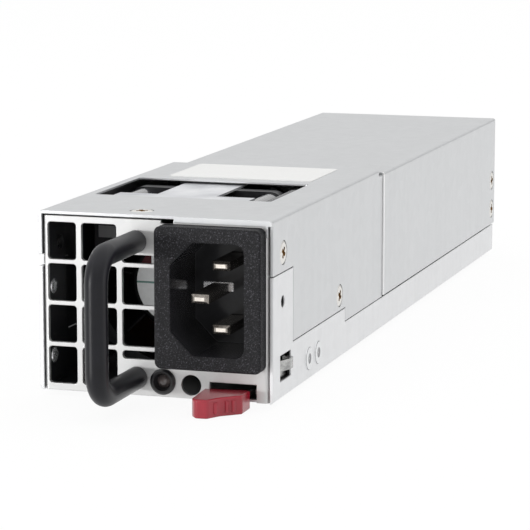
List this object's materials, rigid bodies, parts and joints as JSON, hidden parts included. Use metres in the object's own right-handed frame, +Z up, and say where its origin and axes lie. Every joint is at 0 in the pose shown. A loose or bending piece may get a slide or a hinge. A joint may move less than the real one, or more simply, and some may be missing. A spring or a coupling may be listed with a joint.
{
  "type": "server power supply",
  "caption": "Slim hot swap power supply module with fan grille, bar handle, appliance inlet, status lamp, spring latch and card edge.",
  "frame": {"origin": "bottom face of the tray, at the front panel's outer face, in the middle of the front section's width", "axes": "+X right seen from the handle end, +Y into the bay towards the card edge, +Z up"},
  "size_m": [0.0553, 0.2577, 0.0416],
  "materials": {
    "galvanised": "galvanised sheet, satin with fine spangle",
    "panel_steel": "plated sheet, satin",
    "spring_steel": "rolled strip, semi-bright",
    "fastener": "zinc plated, low gloss",
    "handle_black": "black powder coat, satin",
    "inlet_black": "fine moulded texture, matt",
    "blade_nickel": "nickel plated, bright",
    "lamp_shell": "moulded, semi-gloss",
    "lamp_lens": "frosted clear",
    "latch_red": "moulded dark red, satin",
    "fan_black": "moulded, satin",
    "label_white": "blank film label, matt",
    "strap_film": "pale fibre sheet, matt",
    "wire_black": "sleeved, glossy",
    "wire_blue": "insulated wire, satin",
    "board_green": "solder mask, semi-gloss",
    "gold": "gold plated contact",
    "film_clear": "insulating film",
    "copper": "enamelled winding",
    "ferrite": "sintered ferrite, matt",
    "can_sleeve": "sleeved can, semi-gloss",
    "sink_aluminium": "extruded, matt",
    "device_black": "moulded package",
    "capacitor_yellow": "moulded box",
    "fuse_glass": "glass tube"
  },
  "bodies": {
    "case": {"base_chassis": "galvanised", "front_cover": "galvanised", "rear_cover": "galvanised", "front_panel": "panel_steel", "rear_panel": "galvanised", "pull_handle": "handle_black", "handle_screws": "fastener", "inlet_housing": "inlet_black", "line_pin": "blade_nickel", "neutral_pin": "blade_nickel", "earth_pin": "blade_nickel", "lamp_bezel": "lamp_shell", "lamp_lens": "lamp_lens", "latch_spring": "spring_steel", "latch_rivets": "fastener", "panel_rivets": "fastener", "fan_frame": "fan_black", "fan_bearings": "fastener", "fan_stator": "copper", "fan_strap": "strap_film", "fan_lead": "wire_black", "air_baffle": "film_clear", "main_board": "board_green", "board_standoffs": "fastener", "board_screws": "fastener", "insulation_sheet": "film_clear", "edge_contacts": "gold", "inlet_board": "board_green", "filter_choke": "ferrite", "inlet_wires": "wire_blue", "filter_capacitor": "capacitor_yellow", "input_fuse": "fuse_glass", "boost_choke": "copper", "bulk_capacitor": "can_sleeve", "primary_heatsink": "sink_aluminium", "primary_transistors": "device_black", "transformer_core": "ferrite", "transformer_winding": "copper", "output_capacitors": "can_sleeve", "control_board": "board_green", "cover_screws": "fastener", "top_label": "label_white"},
    "rotor": {"fan_rotor": "fan_black", "fan_hub_label": "label_white", "fan_shaft": "fastener"},
    "latch": {"latch_arm": "spring_steel", "release_tab": "latch_red"}
  },
  "joints": [
    {"name": "fan_spin", "type": "hinge", "parent": "case", "child": "rotor", "pos_m": [-0.00575, 0.04, 0.0198], "axis": [0, 1, 0], "continuous": true},
    {"name": "latch_bend", "type": "hinge", "parent": "case", "child": "latch", "pos_m": [0.0258, 0.0235, 0.005], "axis": [0, 0, 1], "range_deg": [-5.5, 0], "stiffness_Nm_per_rad": 3.1}
  ]
}
